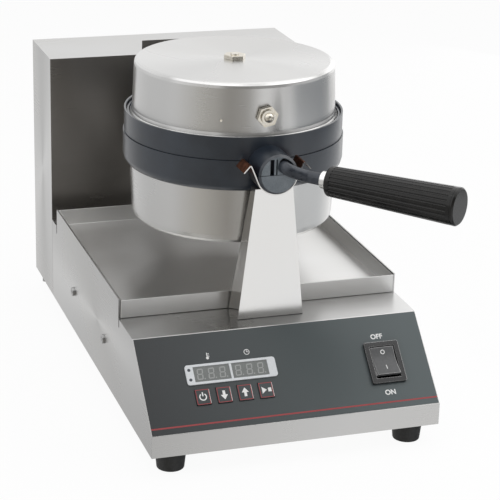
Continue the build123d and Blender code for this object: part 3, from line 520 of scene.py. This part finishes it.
# The four feet, the cord gland and the wire grommet are moulded from black rubber. The feet are
# screwed on from below, and the other two are pushed into their holes.
rubber, tree, main = surface("black_rubber", (0.018, 0.018, 0.018), 0.6)
dust = texture(tree, 420, 5.0, 0.65)
tint(tree, main, dust, (0.012, 0.012, 0.012), (0.028, 0.028, 0.028))
relief(tree, main, dust, 0.0001, 0.5)
for node in ("foot_front_left", "foot_front_right", "foot_rear_left", "foot_rear_right",
             "cord_gland"):
    eased(node, 0.8 * mm, rubber)
coat(rubber, "wire_grommet")

# The control panel's face is a dark grey film with a satin grain, and towards its right end it
# is painted paler, as a painted reflection.
# A red line, the switch's two words and small signs over the read-outs are printed on it.
film, tree, main = surface("grey_film", (0.03, 0.033, 0.034), 0.34)
satin = texture(tree, 1800, 4.0, 0.6)
tint(tree, main, satin, (0.012, 0.014, 0.016), (0.019, 0.022, 0.024))
relief(tree, main, satin, 0.00003, 0.4)
# Painted reflection: the film turns paler and bluer towards its right end.
toned(film, share_of(tree, along(tree, "Object", "X"), -0.13, 0.11), (0.078, 0.098, 0.102), "MIX")
coat(film, "panel_overlay")
lip_edge = Vector((0, -206.5, 37.0)) * mm
deck_edge = Vector((0, -144.0, 96.4)) * mm
up_slope = (deck_edge - lip_edge).normalized()
off_slope = Vector((1, 0, 0)).cross(up_slope)
film_top, ink_thick = 0.36, 0.05


def on_panel(x, u, w):
    """A place on the sloped panel, in millimetres: x across, u up from the lip, w off the sheet."""
    return Vector((x * mm, 0, 0)) + lip_edge + up_slope * u * mm + off_slope * w * mm


def printed(name, outlines, skin, body="base", w=film_top):
    """Flat print on the panel or on what stands on it; outlines are closed lists of (x, u)."""
    slabs(name, [[[on_panel(x, u, height) for x, u in outline] for height in (w, w + ink_thick)]
                 for outline in outlines], skin, body)


def bar(x0, x1, u0, u1):
    """A rectangle on the panel."""
    return [(x0, u0), (x1, u0), (x1, u1), (x0, u1)]


def frame_bars(x0, x1, u0, u1, line):
    """The four bars of a rectangular outline."""
    return [bar(x0, x1, u0, u0 + line), bar(x0, x1, u1 - line, u1),
            bar(x0, x0 + line, u0 + line, u1 - line), bar(x1 - line, x1, u0 + line, u1 - line)]


def ring_bars(x, u, outer, inner, start=0, end=360, pieces=20):
    """Short bars that follow an arc round (x, u)."""
    turns = [math.radians(start + (end - start) * i / pieces) for i in range(pieces + 1)]
    return [[(x + r * math.sin(t), u + r * math.cos(t))
             for r, t in ((inner, a), (outer, a), (outer, b), (inner, b))]
            for a, b in zip(turns, turns[1:])]


def disc(x, u, radius, sides=20):
    """A round dot."""
    turns = [2 * math.pi * i / sides for i in range(sides)]
    return [(x + radius * math.cos(t), u + radius * math.sin(t)) for t in turns]


def ink(name, colour):
    """Printing ink, with the slight unevenness of a screen print."""
    material, tree, main = surface(name, colour, 0.45)
    tint(tree, main, texture(tree, 2500, 3.0), tuple(c * 0.85 for c in colour), colour)
    return material


red_ink = ink("red_ink", (0.36, 0.045, 0.05))
white_ink = ink("white_ink", (0.9, 0.9, 0.89))
printed("panel_red_line", [bar(-124.2, 124.2, 5.6, 6.9)], red_ink)
words_x, capitals, em_per_capital, lift = 84.2, 4.4, 1.38, 0.03


def word(name, text, u):
    """A printed word over or under the switch, centred at u."""
    letters = bpy.data.curves.new(name, "FONT")
    letters.body = text
    letters.size = capitals * em_per_capital * mm
    letters.align_x = letters.align_y = "CENTER"
    letters.extrude = 0.025 * mm
    letters.offset = 0.2 * mm
    piece = show(name, letters, white_ink)
    upright = Matrix((Vector((1, 0, 0)), up_slope, off_slope)).transposed().to_4x4()
    piece.matrix_world = Matrix.Translation(on_panel(words_x, u, film_top + lift)) @ upright
    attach(piece, "base")


word("word_off", "OFF", 65.8)
word("word_on", "ON", 14.8)
stem_x, clock_x, clock_u = -65.7, -31.6, 64.5
thermometer = [bar(stem_x - 0.4, stem_x + 0.4, 63.4, 67.4), disc(stem_x, 62.8, 1.25)]
thermometer += [bar(stem_x + 0.8, stem_x + 1.8, u, u + 0.5) for u in (66.3, 65.0, 63.7)]
hands = [bar(clock_x - 0.25, clock_x + 0.25, clock_u - 0.2, clock_u + 1.7),
         bar(clock_x, clock_x + 1.4, clock_u - 0.25, clock_u + 0.25)]
clock = ring_bars(clock_x, clock_u, 2.5, 1.95) + hands
printed("read_out_signs", thermometer + clock, white_ink)

# The read-outs: a pale moulded bezel with two dark lamps at its left end, and two smoked
# windows with three unlit figures in each.
bezel_skin, tree, main = surface("pale_bezel", (0.40, 0.43, 0.45), 0.4)
tint(tree, main, texture(tree, 900, 4.0, 0.6), (0.66, 0.68, 0.70), (0.74, 0.76, 0.78))
eased("display_bezel", 0.4 * mm, bezel_skin)
smoked, tree, main = surface("smoked_window", (0.13, 0.13, 0.125), 0.3)
tint(tree, main, texture(tree, 700, 3.0), (0.155, 0.165, 0.16), (0.185, 0.195, 0.19))
coat(smoked, "display_window_left", "display_window_right")
window_face, bezel_face = 1.16, film_top + 1.3
figure_u, figure_pitch, point_room = 48.9, 9.6, 0.6
unlit = ink("unlit_figure", (0.37, 0.38, 0.37))


def eight(x, u, wide=5.2, high=9.6, line=1.0, gap=0.22, slant=0.09):
    """The seven bars and the point of one unlit figure, leaning a little to the right."""
    half, quarter = high / 2, high / 4
    bars = [bar(-wide / 2 + line * 0.6, wide / 2 - line * 0.6, v - line / 2, v + line / 2)
            for v in (half - line / 2, 0, line / 2 - half)]
    short = line * 0.35 + gap
    bars += [bar(side - line / 2, side + line / 2, v - quarter + short, v + quarter - short)
             for side in (line / 2 - wide / 2, wide / 2 - line / 2) for v in (quarter, -quarter)]
    point_out, point_up, point_radius = 1.25, 0.6, 0.62
    bars.append(disc(wide / 2 + point_out, point_up - half, point_radius, 10))
    return [[(x + px + slant * pu, u + pu) for px, pu in outline] for outline in bars]


for side, middle in (("left", -64.8), ("right", -32.0)):
    figures = [outline for step in (-1, 0, 1)
               for outline in eight(middle - point_room + step * figure_pitch, figure_u)]
    printed(f"figures_{side}", figures, unlit, w=window_face)
dark_ink = ink("dark_ink", (0.06, 0.07, 0.085))
printed("bezel_lamps", [disc(-83.9, 53.2, 1.35), disc(-83.9, 44.6, 1.35)], dark_ink, w=bezel_face)

# The four keys are small caps in the film's colour, each with a printed red border, a white
# strip on its right edge that is a painted highlight, and a white sign: a ring with a stroke,
# two arrows, and the signs for run and stop.
coat(film, "mode_button", "down_button", "up_button", "timer_button")
key_face, key_u = 1.36, 29.0
half_wide, half_high, border_line = 5.7, 6.5, 0.55


def arrow(x, tip):
    """A block arrow whose head points up or down the slope, as tip is 1 or -1."""
    return [[(x - 3.1, key_u), (x + 3.1, key_u), (x, key_u + tip * 4.2)],
            bar(x - 1.15, x + 1.15, *sorted((key_u, key_u - tip * 3.6)))]


def run_and_stop(x):
    """A pointer and a small block beside it."""
    return [[(x - 3.6, key_u + 3.0), (x - 3.6, key_u - 3.0), (x + 0.6, key_u)],
            bar(x + 1.7, x + 4.5, key_u - 1.7, key_u + 1.7)]


def ring_and_stroke(x):
    """A ring, open at its top, with a stroke in the opening."""
    return (ring_bars(x, key_u, 3.3, 2.3, 35, 325, 18)
            + [bar(x - 0.55, x + 0.55, key_u + 0.6, key_u + 4.1)])


for name, x, sign, *tip in (("mode", -76.6, ring_and_stroke), ("down", -58.6, arrow, -1),
                            ("up", -40.6, arrow, 1), ("timer", -22.6, run_and_stop)):
    body = f"{name}_key"
    border = frame_bars(x - half_wide, x + half_wide, key_u - half_high, key_u + half_high,
                        border_line)
    printed(f"{name}_border", border, red_ink, body, w=key_face)
    # Painted highlight: a white strip along each key's right edge.
    highlight_edge = bar(x + 5.72, x + 6.0, key_u - 6.0, key_u + 6.0)
    printed(f"{name}_highlight_edge", [highlight_edge], white_ink, body, w=key_face)
    printed(f"{name}_sign", sign(x, *tip), white_ink, body, w=key_face)

# The switch is black plastic. Its rounded edges are painted pale where they face up and to the
# right, as a painted highlight.
# The rocker is painted a little greyer than the bezel as a painted reflection, and paler on its
# left side as a painted highlight. It has a ring and a bar moulded on its dished face and filled
# with white.
switch_black, tree, main = surface("switch_black", (0.012, 0.012, 0.013), 0.2)
tint(tree, main, texture(tree, 500, 3.0), (0.010, 0.010, 0.011), (0.017, 0.017, 0.018))
# Painted highlight: the edge surface turns pale where its normal faces right and up.
switch_edge_highlight, tree, main = surface("switch_edge_highlight", (0.2, 0.2, 0.2), 0.35)
to_light = maths(tree, "ADD", along(tree, "Normal", "X"), along(tree, "Normal", "Z"))
tint(tree, main, to_light, (0.035, 0.035, 0.035), (0.5, 0.5, 0.5), 0.35, 0.85)
eased("switch_bezel", 0.45 * mm, switch_black, highlight_skin=switch_edge_highlight)
# Painted reflection and highlight: the rocker is greyer than the bezel, and its left-facing faces
# turn pale.
rocker_black, tree, main = surface("rocker_black", (0.07, 0.07, 0.072), 0.3)
tint(tree, main, texture(tree, 500, 3.0), (0.062, 0.064, 0.066), (0.085, 0.087, 0.09))
toned(rocker_black, share_of(tree, along(tree, "Normal", "X"), -0.5, -0.9), (0.6, 0.6, 0.6), "MIX")
eased("switch_rocker", 0.6 * mm, rocker_black, highlight_skin=switch_edge_highlight)
tilt = math.radians(-7.0)
rocker_x, pivot_u, pivot_w = 85.4, 41.5, -2.0
dish = ((0.0, 4.2), (7.0, 5.0), (13.2, 6.4))        # along the rocker from its pivot, and height


def on_rocker(outline, rise):
    """An outline laid on the rocker's face; it is given as (x, v), with v from the pivot."""
    places = []
    for x, v in outline:
        (v0, low), (v1, high) = dish[:2] if abs(v) < dish[1][0] else dish[1:]
        face = low + (abs(v) - v0) * (high - low) / (v1 - v0) + rise
        places.append(on_panel(x, pivot_u + v * math.cos(tilt) - face * math.sin(tilt),
                               pivot_w + v * math.sin(tilt) + face * math.cos(tilt)))
    return places


ring_and_bar = (ring_bars(rocker_x, 8.6, 2.0, 1.3, pieces=16)
                + [bar(rocker_x - 0.35, rocker_x + 0.35, -7.6, -3.6)])
slabs("rocker_marks", [[on_rocker(outline, rise) for rise in (-0.05, 0.06)]
                       for outline in ring_and_bar], white_ink, "rocker")

# The boards inside the cabinet are green laminate, and so is the terminal block's moulding. The
# display board stands on studs behind the read-outs, and the power board on the bottom plate.
laminate, tree, main = surface("green_laminate", (0.03, 0.14, 0.06), 0.5)
tint(tree, main, texture(tree, 500, 3.0), (0.02, 0.10, 0.045), (0.04, 0.17, 0.08))
coat(laminate, "display_board", "power_board", "terminal_block")
